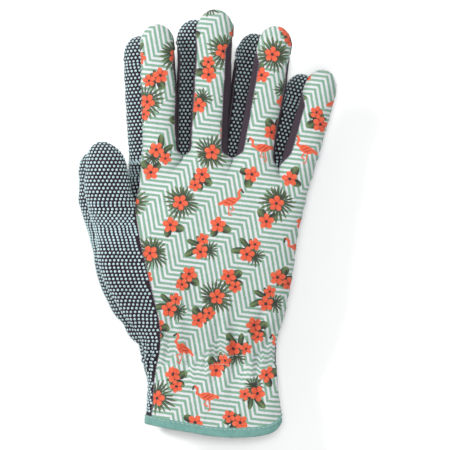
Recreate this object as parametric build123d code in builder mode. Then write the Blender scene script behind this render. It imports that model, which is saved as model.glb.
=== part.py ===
"""A pair of light sewn gardening gloves, lying palm to palm: the left glove palm up on the surface and the
right glove back up on top of it, turned a little so that the left one shows between its fingers.

Each glove is a hollow sewn shell: a back panel and a palm panel that wraps round the thumb side, a set-in
thumb, four fingers with gussets between them, an elastic inside the wrist and a tape bound over the cuff's
edge. Every glove is first made back up in its own frame: +X towards the little finger, +Y towards the
fingertips, +Z out of the back of the hand, with the cuff's edge near y = -117.
"""

from build123d import *

import os
from math import cos, radians, sin

os.makedirs("parts", exist_ok=True)

# Cloth and trim, in millimetres.
WALL = 1.0                  # sewn cloth, with its seam allowance
JOINT_GAP = 0.15            # each side's clearance where a finger meets the hand
LAY_GAP = 1.8               # air between the two gloves where they lie on each other
WEB_THICKNESS = 1.85        # the folded foot of a gusset, between two fingers
GUSSET_HALF_HEIGHT = 5.0
GUSSET_END = 16.0           # how far short of the fingertip a gusset stops
ELASTIC_Y = (-79.0, -71.0)
ELASTIC_THICKNESS = 1.0
ELASTIC_STITCH_Y = (-77.5, -72.5)
THREAD = 0.3
THREAD_WIDTH = 0.6
TAPE = 0.6                  # one layer of the binding tape
TAPE_EDGE_Y = -109.0
CLOTH_EDGE_Y = -116.0
CUFF_Y = -117.0
TAPE_STITCH_Y = -110.4

# Places along the glove where the fingers and the thumb start.
KNUCKLE_Y = 38.0
THUMB_Y = 12.0

# The hand: y, left edge, right edge, thickness, and where the back panel's seam runs on the thumb side.
HAND = [
    (CUFF_Y, -45.5, 31.5, 20.0, -41.5),
    (-100.0, -44.5, 30.5, 19.5, -41.0),
    (-78.0, -44.0, 29.5, 19.0, -38.0),
    (-52.0, -46.0, 33.5, 21.0, -38.0),
    (-25.0, -47.5, 38.7, 23.0, -43.0),
    (5.0, -48.6, 44.0, 22.0, -46.0),
    (KNUCKLE_Y, -46.7, 52.7, 18.5, -45.2),
]
HAND_ROUNDING = 0.48        # corner radius as a share of the thickness

# Each finger: x where it starts, lean in degrees, y of the tip, width, and the sides that have a gusset.
FINGERS = {
    "index": (-36.3, -1.7, 113.2, 20.4, ("right",)),
    "middle": (-9.9, 2.8, 121.2, 21.4, ("left", "right")),
    "ring": (16.7, 9.6, 112.2, 20.4, ("left", "right")),
    "little": (42.6, 16.0, 87.6, 19.2, ("left",)),
}
FINGER_THICKNESS = 17.0
FINGER_TAPER = 0.96
TIP_LENGTH = 13.0
FOOT = 6.0                  # how far a finger's form reaches back before it is cut at the knuckles

# The ball of the thumb, up past where the thumb starts: y, x of the middle, width, thickness.
THUMB = [
    (-64.0, -42.0, 12.0, 12.0),
    (-46.0, -48.0, 22.0, 16.5),
    (-25.0, -55.5, 28.5, 18.5),
    (-6.0, -59.5, 31.0, 19.5),
    (THUMB_Y, -64.2, 27.2, 18.6),
    (20.0, -65.5, 26.4, 18.2),
]
THUMB_TUBE = (-64.2, -9.5, 47.2, 27.2, 18.6)    # x where it starts, lean, y of the tip, width, thickness
THUMB_TAPER = 0.87
THUMB_TIP_LENGTH = 18.0
# The seam that sets the thumb into the hand runs from its crotch down to the outer edge.
THUMB_SEAM = ((-50.4, 12.5), (-65.0, -34.5))

# How the left glove lies under the right one.
LEFT_SCALE = 0.982
LEFT_TURN = 2.2
LEFT_SHIFT = -3.0
LEFT_PIVOT = (-7.4, -112.0)

BIG = 400.0


def lay_right(thickness):
    """Height of the right glove's middle: it rests on the left glove, which is as thick as it is."""
    return 1.5 * thickness + LAY_GAP


def lay_left(thickness):
    """Height of the left glove's middle before it is turned over: its back is flat."""
    return -0.5 * thickness


def hand_thickness(y):
    """How thick the hand is at one place along it."""
    for (low_y, _, _, low, _), (high_y, _, _, high, _) in zip(HAND, HAND[1:]):
        if y <= high_y:
            return low + (high - low) * (y - low_y) / (high_y - low_y)
    return HAND[-1][3]


def section_plane(x, y, z):
    return Plane(origin=(x, y, z), x_dir=(1, 0, 0), z_dir=(0, -1, 0))


def hand_form(lay, inset):
    """The solid form of the hand, without its thumb, drawn in by inset all round."""
    with BuildPart() as form:
        for y, left, right, thickness, _ in HAND:
            radius = HAND_ROUNDING * thickness - inset
            with BuildSketch(section_plane((left + right) / 2, y, lay(thickness))):
                RectangleRounded(right - left - 2 * inset, thickness - 2 * inset, radius)
        loft()
    return form.part


def round_ended(half_widths, half_height, straight, tip_length):
    """A hollow tube up the Y axis from y = 0: it tapers, closes in a round tip and is then flattened."""
    base, shoulder = half_widths
    with BuildPart() as tube:
        with BuildSketch(Plane.XY):
            with BuildLine():
                outside = tip_profile(base, shoulder, straight, tip_length)
                inside = tip_profile(base - WALL, shoulder - WALL, straight, tip_length - WALL)
                Line(outside[1], inside[1])
                Line(outside[0], inside[0])
            make_face()
        revolve(axis=Axis.Y)
        scale(by=(1, 1, half_height / base))
    return tube.part


def tip_profile(base, shoulder, straight, tip_length):
    """Draws half of a tube's outline and gives back its two ends."""
    side = Line((base, 0), (shoulder, straight))
    tip = Spline(
        side @ 1,
        (shoulder * cos(radians(30)), straight + tip_length * sin(radians(30))),
        (shoulder * cos(radians(60)), straight + tip_length * sin(radians(60))),
        (0, straight + tip_length),
        tangents=((0, 1), (-1, 0)),
    )
    return side @ 0, tip @ 1


def thumb_form(lay, inset):
    """The ball of the thumb as one solid form that runs on into the thumb, drawn in by inset."""
    with BuildPart() as form:
        for y, x, width, thickness in THUMB:
            with BuildSketch(section_plane(x, y, lay(hand_thickness(y)))):
                Ellipse(width / 2 - inset, thickness / 2 - inset)
        loft()
    return form.part


def leaning_tube(start, lean, end_y, half_widths, half_height, tip_length):
    """A finger's or the thumb's hollow form, starting inside the hand and leaning to one side."""
    straight = (end_y - start[1]) / cos(radians(lean)) - tip_length
    tube = round_ended(half_widths, half_height, straight + FOOT, tip_length)
    return Pos(*start) * Rot(0, 0, -lean) * Pos(0, -FOOT, 0) * tube


def finger_tube(lay, name):
    base_x, lean, tip_y, width, _ = FINGERS[name]
    start = (base_x, KNUCKLE_Y, lay(FINGER_THICKNESS))
    half_widths = (width / 2, width * FINGER_TAPER / 2)
    return leaning_tube(start, lean, tip_y, half_widths, FINGER_THICKNESS / 2, TIP_LENGTH)


def slab(y_low, y_high):
    """Everything between two places along the glove."""
    with BuildPart() as block:
        with Locations((0, (y_low + y_high) / 2, 0)):
            Box(BIG, y_high - y_low, BIG)
    return block.part


def above(height):
    with BuildPart() as block:
        with Locations((0, 0, height + BIG / 2)):
            Box(BIG, 2 * BIG, BIG)
    return block.part


def shared(first, *others):
    """What the first solid has in common with all the others."""
    with BuildPart() as kept:
        add(first)
        for other in others:
            add(other, mode=Mode.INTERSECT)
    return kept.part


def without(first, *others):
    with BuildPart() as kept:
        add(first)
        for other in others:
            add(other, mode=Mode.SUBTRACT)
    return kept.part


def joined(*parts):
    with BuildPart() as whole:
        for part in parts:
            add(part)
    return whole.part


def hand_hull(lay, inset):
    """The hand and the ball of the thumb as one form, up to where the thumb starts."""
    ball = shared(thumb_form(lay, inset), slab(-BIG, THUMB_Y - JOINT_GAP))
    return joined(hand_form(lay, inset), ball)


def back_region(lay):
    """The space that holds the back panel: above the middle of the hand, right of the thumb-side seam."""
    reach = 8.0
    with BuildPart() as region:
        for y, _, right, thickness, seam in HAND:
            width, height = right + reach - seam, thickness / 2 + reach
            middle = lay(thickness)
            with BuildSketch(section_plane(seam + width / 2, y, middle + height / 2)):
                Rectangle(width, height)
        loft(ruled=True)
    return region.part


def thumb_region():
    """The side of the thumb seam that belongs to the thumb, as far up as the thumb's crotch."""
    (top_x, top_y), (low_x, low_y) = THUMB_SEAM
    with BuildPart() as region:
        with BuildSketch(Plane.XY.offset(-BIG / 2)):
            with BuildLine():
                far_low, far_top = (low_x - BIG, low_y), (top_x - BIG, top_y)
                Polyline(far_low, (low_x, low_y), (top_x, top_y), far_top, close=True)
            make_face()
        extrude(amount=BIG)
    return region.part


def web_plate(lay):
    """The plate that closes the hand between and round the fingers, with a hole into each of them."""
    _, left, right, thickness, _ = HAND[-1]
    foot_y = KNUCKLE_Y - JOINT_GAP - WEB_THICKNESS
    with BuildPart() as plate:
        with BuildSketch(section_plane((left + right) / 2, foot_y, lay(thickness))):
            RectangleRounded(right - left, thickness, HAND_ROUNDING * thickness)
        extrude(amount=-WEB_THICKNESS)
        for base_x, lean, _, width, _ in FINGERS.values():
            half_width = width / 2 / cos(radians(lean)) - WALL
            middle = lay(FINGER_THICKNESS)
            with BuildSketch(section_plane(base_x, foot_y, middle)):
                Ellipse(half_width, FINGER_THICKNESS / 2 - WALL)
            extrude(amount=-WEB_THICKNESS, mode=Mode.SUBTRACT)
    return plate.part


def side_block(name, side, lay):
    """The band along one side of a finger where its gusset lies."""
    base_x, lean, tip_y, _, _ = FINGERS[name]
    reach = 30.0
    length = tip_y - GUSSET_END - KNUCKLE_Y
    sign = 1 if side == "right" else -1
    middle = lay(FINGER_THICKNESS)
    frame = Plane(origin=(base_x, KNUCKLE_Y, middle), x_dir=(cos(radians(lean)), -sin(radians(lean)), 0))
    with BuildPart() as block:
        with BuildSketch(frame.offset(-GUSSET_HALF_HEIGHT)):
            with Locations((sign * reach / 2, (length - reach) / 2)):
                Rectangle(reach, length + reach)
        extrude(amount=2 * GUSSET_HALF_HEIGHT)
    return block.part


def finger_pieces(name, lay):
    """One finger's back, palm side and gussets, with their foot just above the knuckle line."""
    sides = FINGERS[name][4]
    middle = lay(FINGER_THICKNESS)
    tube = shared(finger_tube(lay, name), slab(KNUCKLE_Y + JOINT_GAP, BIG))
    strips = [shared(tube, side_block(name, side, lay)) for side in sides]
    body = without(tube, *strips)
    return {
        f"{name}_back": shared(body, above(middle)),
        f"{name}_palm": without(body, above(middle)),
        f"{name}_gusset" + "s" * (len(sides) - 1): joined(*strips),
    }


def thumb_pieces(lay):
    base_x, lean, tip_y, width, thickness = THUMB_TUBE
    middle = lay(hand_thickness(THUMB_Y))
    half_widths = (width / 2, width * THUMB_TAPER / 2)
    tube = leaning_tube((base_x, THUMB_Y, middle), lean, tip_y, half_widths, thickness / 2, THUMB_TIP_LENGTH)
    tube = shared(tube, slab(THUMB_Y + JOINT_GAP, BIG))
    return {"thumb_back": shared(tube, above(middle)), "thumb_palm": without(tube, above(middle))}


def hand_pieces(lay):
    """The pieces that don't bend with a finger: panels, thumb ball, webs, elastic, tape, stitching."""
    outer, inner = hand_hull(lay, 0), hand_hull(lay, WALL)
    skin = hand_form(lay, THREAD)
    foot_y = KNUCKLE_Y - JOINT_GAP - WEB_THICKNESS
    open_thumb = shared(thumb_form(lay, WALL), slab(-BIG, THUMB_Y + 1))
    shell = without(outer, inner, open_thumb)

    # The cloth's edge is pressed thin inside the folded tape.
    under_tape = without(hand_form(lay, TAPE), hand_form(lay, 2 * TAPE))
    under_tape = shared(under_tape, slab(CLOTH_EDGE_Y, TAPE_EDGE_Y))
    tape_ring = shared(without(hand_form(lay, 0), hand_form(lay, 3 * TAPE)), slab(CUFF_Y - 1, TAPE_EDGE_Y))
    tape_thread = shared(without(hand_form(lay, 0), skin),
                         slab(TAPE_STITCH_Y, TAPE_STITCH_Y + THREAD_WIDTH))
    binding = without(tape_ring, under_tape, tape_thread)
    cloth = joined(shared(shell, slab(TAPE_EDGE_Y, foot_y)), under_tape)

    thumb_base = shared(cloth, thumb_region())
    thumb_base = max(thumb_base.solids(), key=lambda solid: solid.volume)
    panels = without(cloth, thumb_region())
    back_side = back_region(lay)
    thread_rows = [shared(without(hand_form(lay, 0), skin), slab(y, y + THREAD_WIDTH), back_side)
                   for y in ELASTIC_STITCH_Y]
    back = without(shared(panels, back_side), *thread_rows)
    palm = without(panels, back_side)
    elastic = shared(without(hand_form(lay, WALL), hand_form(lay, WALL + ELASTIC_THICKNESS)),
                     slab(*ELASTIC_Y), back_side)

    plate = web_plate(lay)
    middle_x, ring_x = FINGERS["middle"][0], FINGERS["ring"][0]
    ends = (-BIG, middle_x, ring_x, BIG)
    webs = []
    for low, high in zip(ends, ends[1:]):
        with BuildPart() as strip:
            with Locations(((low + high) / 2, 0, 0)):
                Box(high - low, BIG, BIG)
        webs.append(shared(plate, strip.part))

    return {
        "back_panel": back,
        "palm_panel": palm,
        "thumb_base": thumb_base,
        "index_middle_web": webs[0],
        "middle_ring_web": webs[1],
        "ring_little_web": webs[2],
        "wrist_elastic": elastic,
        "elastic_stitching": joined(*thread_rows),
        "cuff_binding": binding,
        "binding_stitching": tape_thread,
    }


def glove_pieces(lay):
    pieces = hand_pieces(lay)
    for name in FINGERS:
        pieces.update(finger_pieces(name, lay))
    pieces.update(thumb_pieces(lay))
    return pieces


def place_left(shape):
    """Turns a left-glove shape palm up and lays it under the right glove."""
    turned = mirror(shape, about=Plane.XY)
    x, y = LEFT_PIVOT
    sized = scale(Pos(-x, -y, 0) * turned, by=LEFT_SCALE)
    return Pos(x + LEFT_SHIFT, y, 0) * (Rot(0, 0, LEFT_TURN) * sized)


def left_point(x, y):
    """Where a point of the left glove's own frame ends up, seen from above."""
    px, py = LEFT_PIVOT
    turn = radians(LEFT_TURN)
    dx, dy = LEFT_SCALE * (x - px), LEFT_SCALE * (y - py)
    return (px + LEFT_SHIFT + dx * cos(turn) - dy * sin(turn), py + dx * sin(turn) + dy * cos(turn))


pair = {f"right_{name}": shape for name, shape in glove_pieces(lay_right).items()}
pair.update({f"left_{name}": place_left(shape) for name, shape in glove_pieces(lay_left).items()})

# The row's origin is the middle of the pair's box, on the surface that it lies on.
box = Compound(children=[Compound(shape.solids()) for shape in pair.values()]).bounding_box()
to_origin = Pos(-box.center().X, -box.center().Y, -box.min.Z)
print("size", [round(v, 2) for v in box.size], "shift", [round(v, 3) for v in to_origin.position])

for name, shape in pair.items():
    placed = Compound([to_origin * solid for solid in shape.solids()])
    placed.label = name
    export_step(placed, f"parts/{name}.step")

# Hinge points: the right fingers fold up about their top edge, and the left ones swing about a bottom corner.
shift = to_origin.position
hinge_height = lay_right(FINGER_THICKNESS) + FINGER_THICKNESS / 2 + 0.1
for name, (base_x, lean, _, width, _) in FINGERS.items():
    outer = -1 if name in ("index", "middle") else 1
    corner = left_point(base_x + outer * width / 2 / cos(radians(lean)), KNUCKLE_Y)
    print("hinge right", name, [round(v, 3) for v in (shift.X, KNUCKLE_Y + shift.Y, hinge_height + shift.Z)])
    print("hinge left", name, [round(corner[0] + shift.X, 3), round(corner[1] + shift.Y, 3), 9.0])
thumb_x, _, _, thumb_width, thumb_thickness = THUMB_TUBE
thumb_top = lay_right(hand_thickness(THUMB_Y)) + thumb_thickness / 2 + 0.1
corner = left_point(thumb_x - thumb_width / 2 - 2.5, THUMB_Y)
print("hinge right thumb", [round(v, 3) for v in (shift.X, THUMB_Y + shift.Y, thumb_top + shift.Z)])
print("hinge left thumb", [round(corner[0] + shift.X, 3), round(corner[1] + shift.Y, 3), 9.0])
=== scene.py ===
"""The look of a pair of sewn garden gloves lying palm to palm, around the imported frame.

Every glove is worked out in its own frame, in millimetres: back up, +X towards the little finger, +Y
towards the fingertips, z = 0 half way through its thickness. It is made of grids of points in rows along the
glove. A ring of points closes round a finger, round the thumb and round the hand, and each cloth panel is a
run of its columns. The left glove is the right one's mirror image in z, which leaves it palm up.
"""

from dataclasses import dataclass

import bmesh
import bpy
import numpy as np
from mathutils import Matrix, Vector


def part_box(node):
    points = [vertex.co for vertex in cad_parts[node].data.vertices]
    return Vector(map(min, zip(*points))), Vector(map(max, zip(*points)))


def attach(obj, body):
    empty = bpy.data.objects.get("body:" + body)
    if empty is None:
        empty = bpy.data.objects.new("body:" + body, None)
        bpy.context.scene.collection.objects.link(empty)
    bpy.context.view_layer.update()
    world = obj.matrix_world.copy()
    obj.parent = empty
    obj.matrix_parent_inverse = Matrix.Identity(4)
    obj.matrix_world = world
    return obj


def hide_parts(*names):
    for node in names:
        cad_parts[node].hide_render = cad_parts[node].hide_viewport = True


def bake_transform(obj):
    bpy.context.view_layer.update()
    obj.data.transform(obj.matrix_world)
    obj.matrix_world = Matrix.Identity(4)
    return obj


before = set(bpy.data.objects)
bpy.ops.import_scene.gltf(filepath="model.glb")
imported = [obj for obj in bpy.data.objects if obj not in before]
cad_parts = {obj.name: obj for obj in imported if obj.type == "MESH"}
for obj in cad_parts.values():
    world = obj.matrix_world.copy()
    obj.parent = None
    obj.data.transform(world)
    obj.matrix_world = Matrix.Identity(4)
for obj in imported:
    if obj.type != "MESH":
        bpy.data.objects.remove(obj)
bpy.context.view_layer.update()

MM = 0.001

# -------------------- the glove's pattern, in millimetres

KNUCKLE_Y = 38.0
CROTCH_Y = 12.5             # where the thumb parts from the hand
WRIST_Y = -75.0             # the middle of the elastic
CUFF_Y = -117.0

# (y, x) along the outline, the print's seam and the pillows that the hand and the thumb's ball make.
LEFT_EDGE = [
    (-122, -45), (-112, -44.7), (-100, -44.2), (-90, -43.6), (-79, -44.4), (-68, -46.8), (-59, -51),
    (-48.7, -58.6), (-41, -63.4), (-34, -66.8), (-25, -70), (-8.5, -72.6), (2, -75.2), (CROTCH_Y, -77.8),
]
RIGHT_EDGE = [
    (-122, 32), (-107.8, 31.8), (-95, 30.6), (-83, 29.8), (-73, 29.3), (-59.4, 31.1), (-45.8, 34.8),
    (-25.5, 38.7), (-5.7, 41.6), (11.3, 44.9), (25.5, 48.7), (40, 52.4),
]
PRINT_SEAM = [
    (-122, -41.8), (-106, -41.2), (-90, -40.2), (-80, -38.8), (-68, -36.6), (-56, -37), (-42.5, -39.8),
    (-25, -44), (-8, -47.8), (5, -49.8), (CROTCH_Y, -50.6), (20, -49), (30, -47.8), (42, -47.2),
]
HAND_LEFT = [
    (-122, -45), (-79, -44.4), (-68, -46.8), (-59, -50), (-45, -55), (-20, -58), (-5, -56), (5, -52.8),
    (CROTCH_Y, -50.6),
]
BALL_RIGHT = [
    (-122, -20), (-68, -24), (-45, -32), (-20, -38.5), (-5, -43.5), (5, -47.5), (CROTCH_Y, -50.6),
]
# (y, thickness)
HAND_THICKNESS = [
    (-122, 18.5), (-105, 17.5), (-90, 16.2), (-75, 14.2), (-60, 17.5), (-45, 20.5), (-25, 22.5),
    (5, 21.8), (KNUCKLE_Y, 18.5),
]
BALL_THICKNESS = [(-122, 6), (-75, 8), (-60, 11), (-45, 15), (-25, 18), (CROTCH_Y, 18.6)]
# The CAD glove's whole thickness, which sets how high each glove lies.
LAY_THICKNESS = [
    (-122, 20), (-100, 19.5), (-78, 19), (-52, 21), (-25, 23), (5, 22), (KNUCKLE_Y, 18.5), (50, 17),
]
# (x, rise) of the hem's curve.
HEM_RISE = [
    (-46, 5.2), (-32, 2.7), (-20, 0.7), (-8.5, -1.3), (9, -2.2), (20, -1.3), (25.5, -0.1), (29, 1.9),
    (31.4, 5.0), (33, 7.5),
]

# Each finger: where its axis crosses the knuckle line, lean in degrees, the tip's y, its width, and how much
# of a gusset shows on the left and right of its back. None is a side with no gusset.
FINGERS = {
    "index": (-36.6, -1.6, 114.2, 20.6, None, 1.0),
    "middle": (-9.6, 3.0, 122.6, 22.0, 0.8, 3.8),
    "ring": (17.0, 9.9, 113.0, 21.2, 3.4, 0.9),
    "little": (42.8, 16.2, 87.9, 19.8, 3.8, None),
}
# (x, y) of the seams' ends and crotches, from beside the index finger to beside the little finger.
CROTCHES = [(-47.2, 40.0), (-23.8, 39.6), (4.5, 37.9), (30.6, 32.3), (52.0, 36.8)]
FINGER_THICKNESS = 16.8
FINGER_TAPER = 0.95
TIP_LENGTH = 12.5
GUSSET_STOP = 15.0
CROTCH_ROUND = 4.5
PALM_INSET = 1.6
SQUARENESS = 0.88
THUMB_LEFT = [(CROTCH_Y, -77.8), (18, -78.9), (25, -78.9), (33, -78.6)]
THUMB_RIGHT = [(CROTCH_Y, -50.6), (16, -52.0), (22, -53.2), (30, -55.0), (33, -56.0)]
THUMB_TIP_FROM = 33.0
THUMB_TIP_TO = 47.3
THUMB_TIP_DRIFT = -2.6
THUMB_THICKNESS = 18.0

# Cloth, dots and thread.
CLOTH = 0.8
DOT_PITCH = 2.42
DOT_RADIUS = 0.76
DOT_HEIGHT = 0.42
TAPE_WIDTH = 5.2
ELASTIC_ROWS = (-80.0, -72.0)
ELASTIC_STITCHES = (-78.5, -73.5)
OVERLOCK = {"length": 1.3, "gap": 0.35, "radius": 0.17, "slant": 0.9}
CUT_EDGES = ("foot", "left", "right")

# Columns of points across the glove.
THUMB_COLUMNS = 30
FINGER_COLUMNS = 30
GUSSET_COLUMNS = 6
PRINT_COLUMNS = FINGER_COLUMNS * len(FINGERS)
ROW_STEP = 0.95

# How the left glove lies under the right one, as the CAD has it.
LEFT_SCALE = 0.982
LEFT_TURN = np.radians(2.2)
LEFT_SHIFT = -3.0
LEFT_PIVOT = np.array([-7.4, -112.0])
LAY_GAP = 1.8
FLOOR_CLEAR = 0.1           # its cloth lies flat on the surface where it touches it
WRIST_TUCK = 2.4            # how far the lower glove's wrist lies in under the upper one
THUMB_TUCK = 1.8            # and its thumb


def smooth(t):
    """An S-shaped step from 0 to 1 as t goes from 0 to 1."""
    t = np.clip(t, 0.0, 1.0)
    return t * t * (3 - 2 * t)


def bell(value, middle, width):
    """1 at the middle, fading to nothing about two widths away."""
    return np.exp(-(((value - middle) / width) ** 2))


def along(table, at):
    """A smooth curve through a table of (place, value), read at each place."""
    xs, ys = (np.array(column, float) for column in zip(*table))
    slopes = np.gradient(ys, xs)
    at = np.clip(at, xs[0], xs[-1])
    i = np.clip(np.searchsorted(xs, at) - 1, 0, len(xs) - 2)
    span = xs[i + 1] - xs[i]
    t = (at - xs[i]) / span
    return (ys[i] * (1 + 2 * t) * (1 - t) ** 2 + ys[i + 1] * t * t * (3 - 2 * t)
            + span * slopes[i] * t * (1 - t) ** 2 - span * slopes[i + 1] * t * t * (1 - t))


def ripple(points, scale, seed, waves=7):
    """Smooth noise from -1 to 1: a few crossing sine waves of about one wavelength."""
    rng = np.random.default_rng(seed)
    total = np.zeros(points.shape[:-1])
    for _ in range(waves):
        direction = rng.normal(size=3)
        direction *= 2 * np.pi / (scale * rng.uniform(0.75, 1.5) * np.linalg.norm(direction))
        total += np.sin(points @ direction + rng.uniform(0, 2 * np.pi))
    return total / np.sqrt(waves * 2)


def superellipse(angle):
    """Sideways and upward share of a ring at an angle from straight up, clockwise seen from the cuff."""
    side, up = np.sin(angle), np.cos(angle)
    return (np.sign(side) * np.abs(side) ** SQUARENESS, np.sign(up) * np.abs(up) ** SQUARENESS)


def over_the_top(count):
    """Angles of the columns from a ring's left edge over its top, without the right edge."""
    return np.linspace(-np.pi / 2, np.pi / 2, count + 1)[:-1]


# -------------------- rings of points


@dataclass
class Ring:
    """Rows of points round a tube. columns has each panel's run of columns, start and stop."""

    points: np.ndarray
    normals: np.ndarray
    columns: dict


def ring_normals(points):
    """Outward normals of rows of points that run clockwise round a tube, seen from the cuff."""
    ahead = np.gradient(points, axis=0)
    around = np.roll(points, -1, axis=1) - np.roll(points, 1, axis=1)
    normals = np.cross(around, ahead)
    length = np.linalg.norm(normals, axis=2, keepdims=True)
    fallback = points - points.mean(axis=1, keepdims=True) + 1e-6
    fallback /= np.linalg.norm(fallback, axis=2, keepdims=True)
    return np.where(length > 1e-5, normals / np.maximum(length, 1e-9), fallback)


def seam_distance(points, seams):
    """How far each point lies from the nearest seam column, measured across the row."""
    nearest = np.full(points.shape[:2], 99.0)
    for column in seams:
        gap = np.linalg.norm(points - points[:, column:column + 1], axis=2)
        nearest = np.minimum(nearest, gap)
    return nearest


def pleats(across, shortest, longest, seed):
    """Ridges from -1 to 1 that run along the glove, in a mix of widths."""
    rng = np.random.default_rng(seed)
    lengths = rng.uniform(shortest, longest, 5)
    starts = rng.uniform(0, 2 * np.pi, 5)
    return sum(np.sin(2 * np.pi * across / length + start) for length, start in zip(lengths, starts)) / 2.5


def wrist_gathers(points, seed):
    """The small pleats that the elastic draws into the wrist, and the soft folds that fan out from it."""
    x, y = points[..., 0], points[..., 1]
    band = bell(y, WRIST_Y, 8.0)
    spread = bell(y, WRIST_Y + 5, 20.0)
    bend = x * (1 + 0.0035 * (y - WRIST_Y)) + 3.0 * ripple(points * [1, 0.6, 0], 34, seed) + points[..., 2]
    fine = pleats(bend, 3.8, 6.5, seed + 1)
    wide = pleats(bend, 8.0, 17.0, seed + 2)
    rows = sum(bell(y, row, 1.1) for row in ELASTIC_STITCHES)
    return 0.7 * band * fine + 1.25 * spread * wide - 0.6 * rows


def fold_line(points, start, end, width, depth):
    """A soft crease that starts and ends shallow."""
    start, end = np.array(start, float), np.array(end, float)
    line = end - start
    offset = points[..., :2] - start
    share = (offset @ line) / (line @ line)
    across = np.abs(offset[..., 0] * line[1] - offset[..., 1] * line[0]) / np.linalg.norm(line)
    ends = smooth(share * 3) * smooth((1 - share) * 3)
    return -depth * bell(across, 0, width) * ends


# Each fold: its start and end (x, y), its width and its depth.
HAND_FOLDS = [
    ((-30, -38), (-12, -72), 2.6, 1.3), ((-22, -30), (-9, -62), 3.5, 0.6), ((10, -48), (4, -74), 2.4, 0.8),
    ((24, -42), (14, -72), 2.6, 1.1), ((33, -48), (20, -76), 2.2, 0.9), ((-38, -50), (-26, -74), 2.4, 0.9),
    ((-24, -80), (-30, -104), 2.6, 0.7), ((2, -80), (4, -103), 2.8, 0.7), ((17, -80), (21, -106), 2.4, 0.9),
    ((-58, 8), (-50, -22), 2.6, 1.2), ((-70, -4), (-54, -34), 2.6, 1.1), ((-14, -80), (-14, -100), 2.0, 0.6),
    ((-50.8, 12), (-65.7, -35), 1.0, 0.9), ((-76, 2), (-56, -8), 2.4, 1.2),
    ((-66, -22), (-48, -52), 2.2, 0.9), ((-62, -10), (-46, -44), 1.8, 0.8),
]


def cloth_relief(points, seams, keep, seed):
    """Raises the cloth with its ripples and sinks its seams. keep fades it out where pieces must meet."""
    relief = 0.42 * ripple(points, 27, seed) + 0.13 * ripple(points, 10, seed + 5)
    gap = seam_distance(points, seams)
    pucker = 0.22 * ripple(points * [0.3, 1, 0.3], 4.6, seed + 9) * bell(gap, 0, 3.0)
    relief = relief + pucker - 0.45 * bell(gap, 0, 0.9)
    return relief * keep


def finger_ring(name, seed):
    """One finger, from the crotch line to the tip."""
    base_x, lean, tip_y, width, left_gusset, right_gusset = FINGERS[name]
    i = list(FINGERS).index(name)
    lean = np.radians(lean)
    origin = np.array([base_x, KNUCKLE_Y])
    ahead, aside = np.array([np.sin(lean), np.cos(lean)]), np.array([np.cos(lean), -np.sin(lean)])
    length = (tip_y - KNUCKLE_Y) / np.cos(lean)
    straight = length - TIP_LENGTH

    bottom = CROTCH_ROUND * (1 - np.cos(np.linspace(0, np.pi / 2, 9)))
    rows = np.concatenate([bottom, np.arange(CROTCH_ROUND + ROW_STEP, straight, ROW_STEP), [straight]])
    turn = np.linspace(0, np.pi / 2, 16)[1:]
    reach = np.concatenate([rows, straight + TIP_LENGTH * np.sin(turn)])
    shrink = np.concatenate([np.ones(len(rows)), np.cos(turn)])
    near = np.clip(1 - reach / 12, 0, 1) ** 2
    taper = 1 + (FINGER_TAPER - 1) * np.clip(reach / straight, 0, 1)
    edges = []
    for corner, sign in ((CROTCHES[i], -1), (CROTCHES[i + 1], 1)):
        offset = np.array(corner) - origin
        rounded = 1 - np.sqrt(1 - np.clip(1 - reach / CROTCH_ROUND, 0, 1) ** 2)
        flare = (offset @ aside - sign * width / 2) * rounded
        out = sign * width / 2 * taper * shrink + flare
        edges.append(origin + np.outer(out, aside) + np.outer(reach + (offset @ ahead) * near, ahead))
    left, right = edges

    # Where each seam runs, as an angle round the finger.
    open_share = smooth(reach / 4) * smooth((length - GUSSET_STOP - reach) / 9)
    half = width / 2

    def seam_angle(inset):
        share = np.clip(1 - inset * open_share / half, 0.01, 1.0)
        return np.arcsin(share ** (1 / SQUARENESS))

    back_left, back_right = seam_angle(left_gusset or 0), seam_angle(right_gusset or 0)
    palm_left = seam_angle(PALM_INSET if left_gusset else 0)
    palm_right = seam_angle(PALM_INSET if right_gusset else 0)
    runs = [
        ("back", -back_left, back_right, FINGER_COLUMNS),
        ("right_gusset", back_right, np.pi - palm_right, GUSSET_COLUMNS if right_gusset else 0),
        ("palm", np.pi - palm_right, np.pi + palm_left, FINGER_COLUMNS),
        ("left_gusset", np.pi + palm_left, 2 * np.pi - back_left, GUSSET_COLUMNS if left_gusset else 0),
    ]
    angles, columns, used = [], {}, 0
    for run, low, high, count in runs:
        if count:
            angles.append(low[:, None] + (high - low)[:, None] * np.arange(count) / count)
            columns[run] = (used, used + count)
            used += count
    angles = np.concatenate(angles, axis=1)

    side, up = superellipse(angles)
    thickness = FINGER_THICKNESS * (1 - 0.05 * np.clip(reach / straight, 0, 1)) * shrink
    flat = (left + right)[:, None] / 2 + side[..., None] * (right - left)[:, None] / 2
    points = np.concatenate([flat, (up * thickness[:, None] / 2)[..., None]], axis=2)
    normals = ring_normals(points)
    seams = [run[0] for run in columns.values()]
    keep = (smooth(reach / 7) * smooth((length + 1 - reach) / 9))[:, None]
    relief = cloth_relief(points, seams, keep, seed)
    points = points + normals * relief[..., None]
    return Ring(points, ring_normals(points), columns)


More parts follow.
